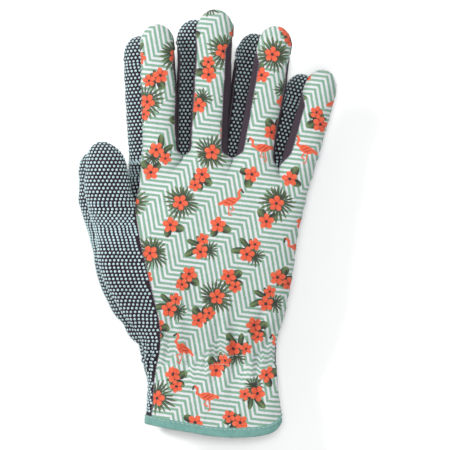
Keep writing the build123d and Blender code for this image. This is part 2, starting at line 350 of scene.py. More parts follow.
def thumb_ring(seed):
    """The thumb, from its crotch to the tip."""
    rows = np.arange(CROTCH_Y, THUMB_TIP_FROM, ROW_STEP)
    turn = np.linspace(0, np.pi / 2, 20)
    reach = THUMB_TIP_TO - THUMB_TIP_FROM
    y = np.concatenate([rows, THUMB_TIP_FROM + reach * np.sin(turn)])
    shrink = np.concatenate([np.ones(len(rows)), np.cos(turn)])
    low = np.minimum(y, THUMB_TIP_FROM)
    left, right = along(THUMB_LEFT, low), along(THUMB_RIGHT, low)
    middle = (left + right) / 2 + THUMB_TIP_DRIFT * np.clip((y - THUMB_TIP_FROM) / reach, 0, 1) ** 1.3
    half = (right - left) / 2 * shrink
    count = 2 * THUMB_COLUMNS
    angles = -np.pi / 2 + 2 * np.pi * np.arange(count) / count
    side, up = superellipse(angles)
    thickness = THUMB_THICKNESS + (BALL_THICKNESS[-1][1] - THUMB_THICKNESS) * np.exp(-(y - CROTCH_Y) / 8)
    points = np.stack([
        middle[:, None] + half[:, None] * side,
        np.repeat(y[:, None], count, axis=1),
        (thickness * shrink / 2)[:, None] * up,
    ], axis=2)
    normals = ring_normals(points)
    keep = (smooth((y - CROTCH_Y) / 7) * smooth((THUMB_TIP_TO + 1 - y) / 9))[:, None]
    relief = cloth_relief(points, [0, THUMB_COLUMNS], keep, seed)
    points = points + normals * relief[..., None]
    return Ring(points, ring_normals(points), {"cloth": (0, count)})


def hand_columns(y):
    """x of each column in each row: the thumb's columns, then the print's, in runs of one finger each."""
    left, right, seam = along(LEFT_EDGE, y), along(RIGHT_EDGE, y), along(PRINT_SEAM, y)
    near_crotch = smooth((y - CROTCH_Y + 30) / 30)[:, None]
    share = np.arange(THUMB_COLUMNS) / THUMB_COLUMNS
    low = 1 - np.cos(np.pi / 2 * share)
    high = (1 - np.cos(np.pi * share)) / 2
    opening = low * (1 - near_crotch) + high * near_crotch
    thumb = left[:, None] + (seam - left)[:, None] * opening

    share = np.arange(PRINT_COLUMNS + 1) / PRINT_COLUMNS
    low = np.sin(np.pi / 2 * share) ** 0.9
    high = (1 - np.cos(np.pi * share)) / 2
    spread = low * (1 - near_crotch) + high * near_crotch
    corners = np.array([corner[0] for corner in CROTCHES])
    side, _ = superellipse(over_the_top(FINGER_COLUMNS))
    knuckle = []
    for near, far in zip(corners, corners[1:]):
        knuckle.extend(near + (far - near) * (side + 1) / 2)
    knuckle = (np.array(knuckle + [corners[-1]]) - corners[0]) / (corners[-1] - corners[0])
    at_knuckle = smooth((y - KNUCKLE_Y + 16) / 16)[:, None]
    across = spread * (1 - at_knuckle) + knuckle * at_knuckle
    left = np.where(y > KNUCKLE_Y - 1e-6, corners[0], seam)
    right = np.where(y > KNUCKLE_Y - 1e-6, corners[-1], right)
    return np.concatenate([thumb, left[:, None] + (right - left)[:, None] * across], axis=1)


def pillow(x, left, right, thickness):
    """Half the thickness of a stuffed shape between two edges."""
    share = np.clip(np.abs(2 * x - left - right) / (right - left), 0, 1)
    return thickness / 2 * (1 - share ** 3.0) ** 0.5


def hand_rings(seed):
    """The hand: its back and its palm, with the thumb's columns only up to the thumb's crotch."""
    low_rows = np.linspace(CUFF_Y, CROTCH_Y, int((CROTCH_Y - CUFF_Y) / ROW_STEP))
    high_rows = np.linspace(CROTCH_Y, KNUCKLE_Y, int((KNUCKLE_Y - CROTCH_Y) / ROW_STEP))[1:]
    y = np.concatenate([low_rows, high_rows])
    x = hand_columns(y)
    rows = np.repeat(y[:, None], x.shape[1], axis=1)
    lift = along(HEM_RISE, x) * smooth((-84 - rows) / 33)
    corner_x, corner_y = np.array(CROTCHES).T
    lift = lift + (np.interp(x, corner_x, corner_y) - KNUCKLE_Y) * smooth((rows - CROTCH_Y - 1) / 24.5)

    hand_left = np.maximum(along(HAND_LEFT, y), along(LEFT_EDGE, y))
    hand_left = np.where(y > CROTCH_Y, along(PRINT_SEAM, y), hand_left)[:, None]
    right = along(RIGHT_EDGE, y)[:, None]
    thick = along(HAND_THICKNESS, y)[:, None]
    body = pillow(x, hand_left, np.maximum(right, x[:, -1:]), thick)
    ball_left, ball_right = along(LEFT_EDGE, y)[:, None], along(BALL_RIGHT, y)[:, None]
    ball = pillow(x, ball_left, ball_right, along(BALL_THICKNESS, y)[:, None])
    high = (y > CROTCH_Y)[:, None]
    z = np.where(high, body, (body ** 5 + ball ** 5) ** 0.2)
    z[:, 0] = 0
    _, up = superellipse(over_the_top(FINGER_COLUMNS))
    fingers = np.append(np.tile(up, len(FINGERS)), 0) * FINGER_THICKNESS / 2
    apart = smooth((y - KNUCKLE_Y + 13) / 13)[:, None]
    z[:, THUMB_COLUMNS:] = z[:, THUMB_COLUMNS:] * (1 - apart) + fingers * apart
    meet = int(np.searchsorted(y, CROTCH_Y + 1e-6))
    _, up = superellipse(over_the_top(THUMB_COLUMNS))
    z[meet - 1, :THUMB_COLUMNS] = up * BALL_THICKNESS[-1][1] / 2
    z[meet - 1, THUMB_COLUMNS] = 0
    z[meet:, THUMB_COLUMNS] = 0

    back = np.stack([x, rows + lift, z], axis=2)
    palm = back * [1, 1, -1]
    loops = {}
    for part, first, slices in (("low", 0, slice(0, meet)), ("high", THUMB_COLUMNS, slice(meet - 1, len(y)))):
        top, under = back[slices, first:], palm[slices, first:]
        loop = np.concatenate([top, under[:, -2:0:-1]], axis=1)
        normals = ring_normals(loop)
        seam = THUMB_COLUMNS - first
        last = top.shape[1] - 1
        ys = y[slices]
        keep = smooth((KNUCKLE_Y - ys) / 8)[:, None] * np.ones(loop.shape[1])
        edge = np.abs(loop[..., 0] - loop[:, seam:seam + 1, 0])
        near_crotch = bell(ys, CROTCH_Y, 7)[:, None]
        keep = keep * (1 - near_crotch * bell(edge, 0, 40))
        relief = cloth_relief(loop, [seam, last], keep, seed)
        relief = relief + wrist_gathers(loop, seed + 20) * smooth((ys + 119) / 12)[:, None]
        for fold in HAND_FOLDS:
            relief = relief + fold_line(loop, *fold) * keep
        loop = loop + normals * relief[..., None]
        loops[part] = (loop, ring_normals(loop), last)
    return loops


# -------------------- placing a glove in the row's frame

cuff_low, cuff_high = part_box("right_cuff_binding")
ROW_SHIFT = np.array([(cuff_low.x + cuff_high.x) / 2 / MM + 7.0, cuff_low.y / MM - CUFF_Y])


def place(points, side):
    """Own frame in millimetres to row frame in metres."""
    x, y, z = points[..., 0], points[..., 1], points[..., 2]
    thick = along(LAY_THICKNESS, y)
    if side == "right":
        out = np.stack([x, y, z + 1.5 * thick + LAY_GAP], axis=-1)
    else:
        tuck = WRIST_TUCK * smooth((-50 - y) / 40)
        tuck = tuck + THUMB_TUCK * smooth((-52 - x) / 14) * smooth((y + 60) / 40)
        across, ahead = LEFT_SCALE * (x + tuck - LEFT_PIVOT[0]), LEFT_SCALE * (y - LEFT_PIVOT[1])
        cosine, sine = np.cos(LEFT_TURN), np.sin(LEFT_TURN)
        out = np.stack([
            LEFT_PIVOT[0] + LEFT_SHIFT + across * cosine - ahead * sine,
            LEFT_PIVOT[1] + across * sine + ahead * cosine,
            np.maximum(LEFT_SCALE * (0.5 * thick - z), FLOOR_CLEAR),
        ], axis=-1)
    out[..., :2] += ROW_SHIFT
    return out * MM


# -------------------- meshes


def grid_faces(rows, columns, start, closed=False):
    """Four-sided faces of a grid of points whose first point has the number start."""
    steps = np.arange(columns if closed else columns - 1)
    row, column = np.meshgrid(np.arange(rows - 1), steps, indexing="ij")
    here, beside = row * columns + column, row * columns + (column + 1) % columns
    return start + np.stack([here, beside, beside + columns, here + columns], axis=2).reshape(-1, 4)


def new_object(name, points, faces, material, side, flat=None, wrong_side=None):
    """A mesh object from points in a glove's own frame. The left glove is a mirror image: its faces turn."""
    if side == "left":
        faces = [face[::-1] for face in faces]
    mesh = bpy.data.meshes.new(name)
    mesh.from_pydata(place(points, side).tolist(), [], [list(map(int, face)) for face in faces])
    flat_attribute = mesh.attributes.new("flat", "FLOAT_VECTOR", "POINT")
    flat_attribute.data.foreach_set("vector", (points if flat is None else flat).astype(np.float32).ravel())
    if wrong_side is not None:
        mesh.attributes.new("wrong_side", "FLOAT", "POINT").data.foreach_set("value", wrong_side)
    work = bmesh.new()
    work.from_mesh(mesh)
    bmesh.ops.remove_doubles(work, verts=work.verts, dist=2e-6)
    work.to_mesh(mesh)
    work.free()
    mesh.validate()
    mesh.shade_smooth()
    mesh.materials.append(material)
    item = bpy.data.objects.new(name, mesh)
    bpy.context.scene.collection.objects.link(item)
    return item


def cloth_object(name, grids, material, side, thickness=CLOTH):
    """Cloth with a right side, a wrong side and cut edges.

    A grid is its points, its normals, whether it closes round, and which of its edges are cut edges.
    """
    points, faces, flat, wrong_side, start = [], [], [], [], 0
    for outer, normals, closed, rims in grids:
        rows, columns = outer.shape[:2]
        inner = outer - normals * thickness
        points += [outer.reshape(-1, 3), inner.reshape(-1, 3)]
        flat += [outer.reshape(-1, 3)] * 2
        faces.append(grid_faces(rows, columns, start, closed))
        faces.append(grid_faces(rows, columns, start + rows * columns, closed)[:, ::-1])
        index = np.arange(rows * columns).reshape(rows, columns) + start
        depth = rows * columns
        wrong_side.append(np.repeat([0.0, 1.0], depth))
        edges = {"foot": index[0][::-1], "top": index[-1], "left": index[:, 0], "right": index[:, -1][::-1]}
        for rim in rims:
            line = edges[rim]
            if closed and rim in ("foot", "top"):
                line = np.append(line, line[0])
            rim_faces = np.stack([line[:-1], line[1:], line[1:] + depth, line[:-1] + depth], axis=1)
            faces.append(rim_faces[:, ::-1])
        start += 2 * depth
    points, faces, flat, wrong_side = (np.concatenate(part) for part in (points, faces, flat, wrong_side))
    return new_object(name, points, faces, material, side, flat, wrong_side)


def travelled(line):
    """How far along a line of points each of them lies."""
    return np.concatenate([[0], np.cumsum(np.linalg.norm(np.diff(line, axis=0), axis=1))])


def read_line(at, travel, line):
    """The point, or the normal, at each distance along a line."""
    return np.stack([np.interp(at, travel, line[:, k]) for k in range(3)], axis=-1)


def arc_lengths(points, reference):
    """How far along its row each point lies from the reference column."""
    steps = np.linalg.norm(np.diff(points, axis=1), axis=2)
    lengths = np.concatenate([np.zeros((len(points), 1)), np.cumsum(steps, axis=1)], axis=1)
    return lengths - lengths[:, reference:reference + 1]


def dot_places(points, normals, reference, margin=1.1, tip_margin=0.0):
    """A staggered lattice of places on a grid, even along it and round it, with their normals."""
    lengths = arc_lengths(points, reference)
    middle = points[:, reference]
    travel = travelled(middle) + middle[0, 1]
    spots, directions = [], []
    row_pitch = DOT_PITCH * np.sqrt(3) / 2
    first = int(np.ceil(travel[0] / row_pitch))
    last = int(np.floor((travel[-1] - tip_margin) / row_pitch))
    for number in range(first, last + 1):
        at = number * row_pitch
        i = int(np.clip(np.searchsorted(travel, at) - 1, 0, len(travel) - 2))
        t = (at - travel[i]) / (travel[i + 1] - travel[i])
        line, normal, length = (rows[i] * (1 - t) + rows[i + 1] * t for rows in (points, normals, lengths))
        stagger = 0.5 * (number % 2)
        start = np.ceil((length[0] + margin) / DOT_PITCH - stagger)
        stop = np.floor((length[-1] - margin) / DOT_PITCH - stagger)
        wanted = (np.arange(start, stop + 1) + stagger) * DOT_PITCH
        spots.append(read_line(wanted, length, line))
        directions.append(read_line(wanted, length, normal))
    directions = np.concatenate(directions)
    return np.concatenate(spots), directions / np.linalg.norm(directions, axis=1, keepdims=True)


# (radius, height) of a dome's rings, as shares of the dot's.
DOME = ((1.0, -0.12), (0.94, 0.45), (0.68, 0.84), (0.32, 0.98))
DOME_SIDES = 10


def dots_object(name, places, material, side):
    """Low round domes of grip compound, all in one mesh."""
    spots, normals = (np.concatenate(parts) for parts in zip(*places))
    helper = np.where(np.abs(normals[:, :1]) < 0.8, [[1.0, 0, 0]], [[0, 1.0, 0]])
    first = np.cross(normals, helper)
    first /= np.linalg.norm(first, axis=1, keepdims=True)
    second = np.cross(normals, first)
    rng = np.random.default_rng(len(spots))
    size = DOT_RADIUS * rng.uniform(0.93, 1.05, len(spots))[:, None]
    turns = 2 * np.pi * np.arange(DOME_SIDES) / DOME_SIDES
    rings = []
    for radius, height in DOME:
        for turn in turns:
            around = first * np.cos(turn) + second * np.sin(turn)
            rings.append(spots + around * size * radius + normals * DOT_HEIGHT * height)
    rings.append(spots + normals * DOT_HEIGHT)
    points = np.stack(rings, axis=1)
    walls = grid_faces(len(DOME), DOME_SIDES, 0, closed=True)
    top = (len(DOME) - 1) * DOME_SIDES
    caps = np.array([[top + k, top + (k + 1) % DOME_SIDES, top + DOME_SIDES] for k in range(DOME_SIDES)])
    starts = np.arange(len(spots))[:, None, None] * points.shape[1]
    faces = (starts + walls).reshape(-1, 4).tolist() + (starts + caps).reshape(-1, 3).tolist()
    return new_object(name, points.reshape(-1, 3), faces, material, side)


# (place along it, height, thickness) of a stitch, the last two as shares of the thread's radius.
STITCH = ((0.0, -0.15, 0.5), (0.12, 0.55, 1.0), (0.5, 0.8, 1.05), (0.88, 0.55, 1.0), (1.0, -0.15, 0.5))
STITCH_SIDES = 6


def thread_object(name, seams, material, side, length, gap, radius, slant=0.0):
    """Stitches of one sewing line after another: each is a short rounded thread that dips in at its ends."""
    points, faces, count = [], [], 0
    for line, normals in seams:
        travel = travelled(line)
        for start in np.arange(0.3, travel[-1] - length, length + gap):
            ends = [read_line(at, travel, line) for at in (start, start + length)]
            up = read_line(start + length / 2, travel, normals)
            up /= np.linalg.norm(up)
            run = ends[1] - ends[0]
            across = np.cross(run, up)
            across /= max(np.linalg.norm(across), 1e-6)
            ends = [ends[0] - across * slant / 2, ends[1] + across * slant / 2]
            run = ends[1] - ends[0]
            for share, height, fat in STITCH:
                centre = ends[0] + run * share + up * radius * height
                for k in range(STITCH_SIDES):
                    turn = 2 * np.pi * k / STITCH_SIDES
                    points.append(centre + radius * fat * (across * np.cos(turn) + up * np.sin(turn)))
            tube = grid_faces(len(STITCH), STITCH_SIDES, count, closed=True)
            faces.extend(tube[:, [0, 3, 2, 1]].tolist())
            faces.append([count + k for k in range(STITCH_SIDES)])
            count += len(STITCH) * STITCH_SIDES
            faces.append([count - 1 - k for k in range(STITCH_SIDES)])
    return new_object(name, np.array(points), faces, material, side)


# -------------------- materials


def arithmetic(operation):
    """A method that adds a Math node for a value and what comes after it."""
    return lambda value, other: value.nodes.math(operation, value, other)


def arithmetic_after(operation):
    """A method that adds a Math node for a plain number and the value that comes after it."""
    return lambda value, number: value.nodes.math(operation, number, value)


class Value:
    """A number or a vector in a material's node tree. Arithmetic on it adds Math nodes."""

    def __init__(self, nodes, socket):
        self.nodes = nodes
        self.socket = socket

    def __abs__(self):
        return self.nodes.math("ABSOLUTE", self)

    __add__ = arithmetic("ADD")
    __radd__ = arithmetic_after("ADD")
    __sub__ = arithmetic("SUBTRACT")
    __rsub__ = arithmetic_after("SUBTRACT")
    __mul__ = arithmetic("MULTIPLY")
    __truediv__ = arithmetic("DIVIDE")
    __mod__ = arithmetic("MODULO")
    __pow__ = arithmetic("POWER")
    __lt__ = arithmetic("LESS_THAN")
    __gt__ = arithmetic("GREATER_THAN")


class Nodes:
    """One material's node tree, with a short method for each kind of node."""

    def __init__(self, name):
        self.material = bpy.data.materials.new(name)
        self.material.use_nodes = True
        self.tree = self.material.node_tree
        self.tree.nodes.clear()
        output = self.tree.nodes.new("ShaderNodeOutputMaterial")
        self.shader = self.tree.nodes.new("ShaderNodeBsdfPrincipled")
        self.tree.links.new(self.shader.outputs[0], output.inputs[0])

    def put(self, socket, value):
        if isinstance(value, Value):
            self.tree.links.new(value.socket, socket)
        else:
            socket.default_value = value

    def add(self, kind, inputs, **settings):
        """A new node of a kind, with its settings and its inputs set."""
        node = self.tree.nodes.new("ShaderNode" + kind)
        for name, value in settings.items():
            setattr(node, name, value)
        for place, value in inputs.items():
            self.put(node.inputs[place], value)
        return node

    def math(self, operation, *values, clamp=False):
        node = self.add("Math", dict(enumerate(values)), operation=operation, use_clamp=clamp)
        return Value(self, node.outputs[0])

    def sine(self, angle):
        return self.math("SINE", angle)

    def cosine(self, angle):
        return self.math("COSINE", angle)

    def larger(self, first, second):
        return self.math("MAXIMUM", first, second)

    def vector(self, operation, *values):
        """Vector maths. A scale is a value that comes after the vector, like a second vector."""
        inputs = dict(zip((0, "Scale" if operation == "SCALE" else 1), values))
        node = self.add("VectorMath", inputs, operation=operation)
        return Value(self, node.outputs["Value" if operation in ("LENGTH", "DOT_PRODUCT") else "Vector"])

    def combine(self, x, y):
        return Value(self, self.add("CombineXYZ", {0: x, 1: y}).outputs[0])

    def split(self, vector):
        return [Value(self, socket) for socket in self.add("SeparateXYZ", {0: vector}).outputs]

    def mix(self, share, low, high):
        return Value(self, self.add("Mix", {0: share, 6: low, 7: high}, data_type="RGBA").outputs[2])

    def noise(self, vector, scale, detail=2.0, roughness=0.5):
        inputs = {"Vector": vector, "Scale": scale, "Detail": detail, "Roughness": roughness}
        return Value(self, self.add("TexNoise", inputs).outputs[0])

    def scatter(self, vector):
        """Three random numbers from 0 to 1, the same ones for the same vector."""
        node = self.add("TexWhiteNoise", {"Vector": vector}, noise_dimensions="2D")
        return self.split(Value(self, node.outputs["Color"]))

    def attribute(self, name, output):
        return Value(self, self.add("Attribute", {}, attribute_name=name).outputs[output])

    def flat(self):
        """The place on the cloth before it was laid down, in the glove's own frame, in millimetres."""
        return self.attribute("flat", "Vector")

    def bump(self, height, distance, strength):
        node = self.add("Bump", {"Height": height, "Distance": distance, "Strength": strength})
        self.put(self.shader.inputs["Normal"], Value(self, node.outputs[0]))

    def finish(self, color, roughness, sheen=0.0, gloss=0.2):
        self.put(self.shader.inputs["Base Color"], color)
        self.put(self.shader.inputs["Roughness"], roughness)
        self.shader.inputs["Sheen Weight"].default_value = sheen
        self.shader.inputs["Sheen Roughness"].default_value = 0.5
        self.shader.inputs["Specular IOR Level"].default_value = gloss
        return self.material


LIGHT_OVER = 1.3            # the studio light runs this much over white, so that the floor stays clean


def srgb(red, green, blue):
    """A linear colour from the 0-255 sRGB values that it shows as under the studio light."""
    values = np.array([red, green, blue]) / 255
    linear = np.where(values <= 0.04045, values / 12.92, ((values + 0.055) / 1.055) ** 2.4)
    return (*linear / LIGHT_OVER, 1.0)


def knit_height(nodes, flat, wale=0.75, course=0.55):
    """Rows of small V-shaped stitches."""
    x, y, _ = nodes.split(flat)
    lean = nodes.math("PINGPONG", x, wale / 2) * 0.9
    wave = nodes.sine((y + lean) * (2 * np.pi / course))
    return wave + nodes.cosine(x * (4 * np.pi / wale)) * -0.5


def turned(nodes, x, y, angle):
    """Two coordinates turned by an angle in radians, which may be a node's value."""
    cosine, sine = nodes.cosine(angle), nodes.sine(angle)
    return x * cosine + y * sine, y * cosine - x * sine


def moved(x, y, across, ahead):
    """Coordinates from a point that lies across and ahead of the old origin."""
    return x - across, y - ahead


def polar(nodes, x, y):
    """Distance and angle from the origin."""
    return nodes.vector("LENGTH", nodes.combine(x, y)), nodes.math("ARCTAN2", y, x)


ORANGE, ORANGE_LIGHT, ORANGE_DARK = srgb(240, 84, 42), srgb(255, 128, 84), srgb(190, 48, 28)
LEAF_DARK, LEAF_MID, LEAF_LIGHT = srgb(26, 26, 22), srgb(44, 74, 36), srgb(122, 150, 92)
INK = srgb(42, 26, 28)


def add_leaves(nodes, color, x, y, size, leaves, lopsided, shade):
    """A burst of pointed leaves round a point, an odd number of them. lopsided thins it out on one side."""
    radius, angle = polar(nodes, x, y)
    share = radius / size
    blade = abs(nodes.cosine(angle * (leaves / 2)))
    reach = 0.3 + blade ** 1.3 * 0.6 + nodes.sine(angle * 4.0) * 0.1
    fullness = nodes.larger((1 - lopsided) + nodes.sine(angle) * lopsided, 0.05)
    green = nodes.mix(shade, LEAF_DARK, LEAF_MID)
    green = nodes.mix(blade ** 9.0 * share * 0.9, green, LEAF_LIGHT)
    green = nodes.mix(blade < 0.45, green, LEAF_DARK)
    return nodes.mix(share < reach * fullness, color, green)


def add_flower(nodes, color, x, y, size, shade):
    """A plain five-petalled flower with a dark eye."""
    radius, angle = polar(nodes, x, y)
    share = radius / size
    petal = abs(nodes.cosine(angle * 2.5))
    red = nodes.mix(share * (petal * shade), ORANGE, ORANGE_LIGHT)
    red = nodes.mix(petal < 0.22, red, ORANGE_DARK)
    red = nodes.mix(share < 0.2, red, INK)
    return nodes.mix(share < 0.52 + petal ** 0.7 * 0.48, color, red)


# A plain wading bird: its body's half length and half width, and strokes from a start to an end with a half
# thickness, in millimetres.
BIRD_BODY = (4.2, 2.3)
BIRD_LEAN = 0.3
BIRD_STROKES = [
    ((3.2, 0.9), (5.4, 2.7), 0.75), ((5.4, 2.7), (4.5, 5.2), 0.65), ((4.5, 5.2), (5.7, 7.0), 0.7),
    ((-2.4, 0.3), (-5.8, -1.5), 1.0), ((-0.9, -1.8), (-0.5, -7.6), 0.33), ((0.7, -1.8), (2.3, -4.5), 0.33),
    ((2.3, -4.5), (0.4, -5.6), 0.33), ((-0.5, -7.6), (0.9, -7.9), 0.33),
]
BIRD_BILL = ((6.3, 6.9), (7.2, 5.4), 0.5)


def stroke(nodes, point, start, end, half):
    """1 inside a rounded stroke, 0 outside it."""
    start, end = np.array([*start, 0.0]), np.array([*end, 0.0])
    line = end - start
    offset = nodes.vector("SUBTRACT", point, tuple(start))
    travel = nodes.vector("DOT_PRODUCT", offset, tuple(line))
    share = nodes.math("DIVIDE", travel, float(line @ line), clamp=True)
    nearest = nodes.vector("SCALE", tuple(line), share)
    return nodes.vector("LENGTH", nodes.vector("SUBTRACT", offset, nearest)) < half


def add_bird(nodes, color, x, y, show, shade):
    """The wading bird, where show is 1."""
    point = nodes.combine(x, y)
    leaning = nodes.combine(*turned(nodes, x, y, BIRD_LEAN))
    squash = (1 / BIRD_BODY[0], 1 / BIRD_BODY[1], 0)
    body = nodes.vector("LENGTH", nodes.vector("MULTIPLY", leaning, squash))
    inside = body < 1.0
    for start, end, half in BIRD_STROKES:
        inside = nodes.larger(inside, stroke(nodes, point, start, end, half))
    pink = nodes.mix(shade * 0.7, ORANGE, ORANGE_LIGHT)
    feathers = nodes.sine(y * 3.2 + x * 1.4) > 0.45
    pink = nodes.mix((body < 0.72) * feathers, pink, ORANGE_DARK)
    color = nodes.mix(inside * show, color, pink)
    return nodes.mix(stroke(nodes, point, *BIRD_BILL) * show, color, INK)


PRINT_CELL = (27.0, 28.0)
STRIPE_ANGLE = float(np.radians(-43.5))
STRIPE_STEP = 11.3          # the length of one straight run before the stripe turns
STRIPE_SLOPE = 0.74
STRIPE_PITCH = 3.36
BEYOND = 400                # more than the glove's length, which keeps a repeat's coordinates above zero


def print_cell(nodes, x, y, layer):
    """Place in a staggered repeat of the print, from its motif's middle, and three random numbers."""
    width, height = PRINT_CELL
    y = y + (20 * height + layer * height / 2)
    row = nodes.math("FLOOR", y / height)
    across = x / width + (0.29 * layer + row * 0.37)
    column = nodes.math("FLOOR", across)
    draws = nodes.scatter(nodes.combine(column + (17.3 + 31 * layer), row))
    cell_x = (nodes.math("FRACT", across) - 0.5) * width + (draws[0] - 0.5) * 5.0
    cell_y = y % height - height / 2 + (draws[1] - 0.5) * 6.0
    return cell_x, cell_y, *draws


def shown(show, size):
    """A motif's size where it is shown, and next to nothing where it isn't."""
    return show * size + 0.001


def stepped_stripe(nodes, x, y, patchy):
    """Green stripes that step down across the cloth on an off-white ground."""
    down, up = turned(nodes, x, y, STRIPE_ANGLE)
    zigzag = nodes.math("PINGPONG", down + BEYOND, STRIPE_STEP) * STRIPE_SLOPE
    phase = nodes.math("FRACT", (up + zigzag + BEYOND) / STRIPE_PITCH)
    stripe = nodes.math("ADD", (abs(phase - 0.5) - 0.24) * 9.0, 0.5, clamp=True)
    ground = nodes.mix(patchy, srgb(238, 237, 243), srgb(222, 226, 231))
    green = nodes.mix(patchy, srgb(142, 186, 160), srgb(116, 164, 138))
    return nodes.mix(stripe, ground, green)


def drawn_in(nodes, x, y):
    """How far the print slips up or down in the pleats of the elastic wrist."""
    away = (y + 74.0) / 12.0
    near = nodes.math("POWER", float(np.e), away * away * -1.0)
    slip = nodes.noise(nodes.combine(x * 0.24, y * 0.03), 1.0) - 0.5
    return slip * near * 7.0


def large_motifs(nodes, color, x, y, shade):
    """In each place a wading bird, a burst of leaves with a flower, or a spray with two flowers."""
    cell_x, cell_y, spin, mirror, kind = print_cell(nodes, x, y, 0)
    bird = kind < 0.36
    burst = kind > 0.58
    spray = 1.0 - nodes.larger(bird, burst)
    flip = 1.0 - (mirror < 0.5) * 2.0
    color = add_bird(nodes, color, *turned(nodes, cell_x * flip, cell_y, (spin - 0.5) * 0.7), bird, shade)
    x, y = turned(nodes, cell_x, cell_y, spin * 6.3)
    color = add_leaves(nodes, color, x, y, shown(burst, 12.8), 23, 0.15, 0.0)
    color = add_leaves(nodes, color, y, x, shown(burst, 10.0), 17, 0.2, shade)
    color = add_flower(nodes, color, *moved(x, y, 0.6, 1.5), shown(burst, 4.4), shade)
    color = add_leaves(nodes, color, x, y, shown(spray, 11.2), 7, 0.4, shade)
    color = add_leaves(nodes, color, *moved(x, y, -3.0, -3.5), shown(spray, 7.6), 15, 0.1, shade)
    color = add_flower(nodes, color, *moved(x, y, -2.8, 1.3), shown(spray, 4.4), shade)
    return add_flower(nodes, color, *moved(x, y, 3.6, -2.0), shown(spray, 3.6), shade)


def small_motifs(nodes, color, x, y, shade):
    """Flowers on dark leaves, alone or two together, between the large motifs."""
    cell_x, cell_y, _, spin, kind = print_cell(nodes, x, y, 1)
    x, y = turned(nodes, cell_x, cell_y, spin * 6.3)
    pair = kind < 0.62
    color = add_leaves(nodes, color, x, y, 8.2, 3, 0.2, 0.0)
    color = add_leaves(nodes, color, *moved(x, y, 1.8, 1.0), shown(pair, 8.6), 5, 0.25, 0.1)
    color = add_flower(nodes, color, *moved(x, y, -0.8, -0.6), 4.5, shade)
    return add_flower(nodes, color, *moved(x, y, 5.2, 3.4), shown(pair, 3.7), shade)


def print_material():
    """Jersey printed with a stepped stripe, flowers, leaves and birds. Its wrong side is nearly plain."""
    nodes = Nodes("printed_jersey")
    flat = nodes.flat()
    x, y, _ = nodes.split(flat)
    wobble = (nodes.noise(flat, 0.9) - 0.5) * 0.8
    slip = drawn_in(nodes, x, y)
    x, y = x + wobble, y - wobble + slip
    shade = nodes.math("MULTIPLY", nodes.noise(flat, 0.6, 3.0, 0.6) - 0.3, 2.2, clamp=True)
    color = stepped_stripe(nodes, x, y, nodes.noise(flat, 0.25, 3.0))
    color = large_motifs(nodes, color, x, y, shade)
    color = small_motifs(nodes, color, x, y, shade)

    knit = knit_height(nodes, flat)
    # Painted highlight: the knit's raised loops are mixed a little towards white, as where they catch the
    # light.
    color = nodes.mix((knit + 1.5) * 0.03, color, srgb(240, 240, 240))
    color = nodes.mix(nodes.attribute("wrong_side", "Fac") * 0.8, color, srgb(214, 217, 218))
    nodes.bump(knit + nodes.noise(flat, 1.6, 3.0) * 2.0, 0.00008, 0.7)
    return nodes.finish(color, 0.85, 0.04)


def dark_knit(name, low, high, wale=0.8, course=0.6):
    """Plain dark knit with paler threads where it catches the light."""
    nodes = Nodes(name)
    flat = nodes.flat()
    knit = knit_height(nodes, flat, wale, course)
    lit = nodes.math("MULTIPLY", knit + 1.5, 0.24, clamp=True)
    color = nodes.mix(lit, low, high)
    color = nodes.mix(nodes.noise(flat, 0.12, 3.0) * 0.35, color, low)
    nodes.bump(knit + nodes.noise(flat, 2.5, 3.0) * 2.0, 0.00010, 0.8)
    return nodes.finish(color, 0.88, 0.05)


def dot_material():
    """Rubbery grip compound, a little duller where it is worn."""
    nodes = Nodes("grip_dot")
    flat = nodes.flat()
    worn = nodes.noise(flat, 0.2, 3.0)
    color = nodes.mix(worn, srgb(204, 230, 232), srgb(168, 196, 204))
    nodes.bump(nodes.noise(flat, 3.0), 0.00004, 0.5)
    return nodes.finish(color, 0.36 + worn * 0.25, gloss=0.5)


def tape_material():
    """Woven binding tape: fine ribs along it with a faint twill."""
    nodes = Nodes("binding_tape")
    flat = nodes.flat()
    x, y, z = nodes.split(flat)
    weave = nodes.sine((x + z) * (2 * np.pi / 0.55)) * nodes.sine(y * (2 * np.pi / 0.5))
    lit = nodes.math("ADD", weave * 0.3, nodes.noise(flat, 0.4, 3.0), clamp=True)
    color = nodes.mix(lit, srgb(96, 148, 140), srgb(138, 186, 178))
    nodes.bump(weave, 0.00008, 0.8)
    return nodes.finish(color, 0.75, 0.2)


def thread_material(name, low, high):
    """Sewing thread with a twist."""
    nodes = Nodes(name)
    x, y, z = nodes.split(nodes.flat())
    twist = nodes.sine((x + y + z) * 16.0)
    nodes.bump(twist, 0.00004, 0.7)
    # Painted highlight and shade: the colour runs paler and darker along the twist, following the same wave
    # as the bump.
    return nodes.finish(nodes.mix(0.5 + twist * 0.4, low, high), 0.7, 0.15)


def elastic_material():
    """Woven elastic with cords along it."""
    nodes = Nodes("elastic")
    x, y, _ = nodes.split(nodes.flat())
    cords = nodes.sine(y * (2 * np.pi / 1.0))
    weave = nodes.sine(x * (2 * np.pi / 0.6))
    # Painted shade: the colour is paler on the cords' crowns and greyer between them, following the same
    # cords as the bump.
    color = nodes.mix(0.5 + cords * 0.4, srgb(205, 205, 200), srgb(238, 238, 234))
    nodes.bump(cords + weave * 0.4, 0.0001, 0.8)
    return nodes.finish(color, 0.7, 0.1)


PRINT = print_material()
DOTTED = dark_knit("dotted_knit", srgb(34, 25, 33), srgb(74, 60, 74))
GUSSET = dark_knit("gusset_knit", srgb(54, 42, 53), srgb(100, 84, 100))
DOTS = dot_material()
TAPE = tape_material()
PALE_THREAD = thread_material("pale_thread", srgb(150, 188, 176), srgb(206, 226, 220))
GREY_THREAD = thread_material("overlock_thread", srgb(128, 118, 132), srgb(190, 182, 194))
ELASTIC = elastic_material()
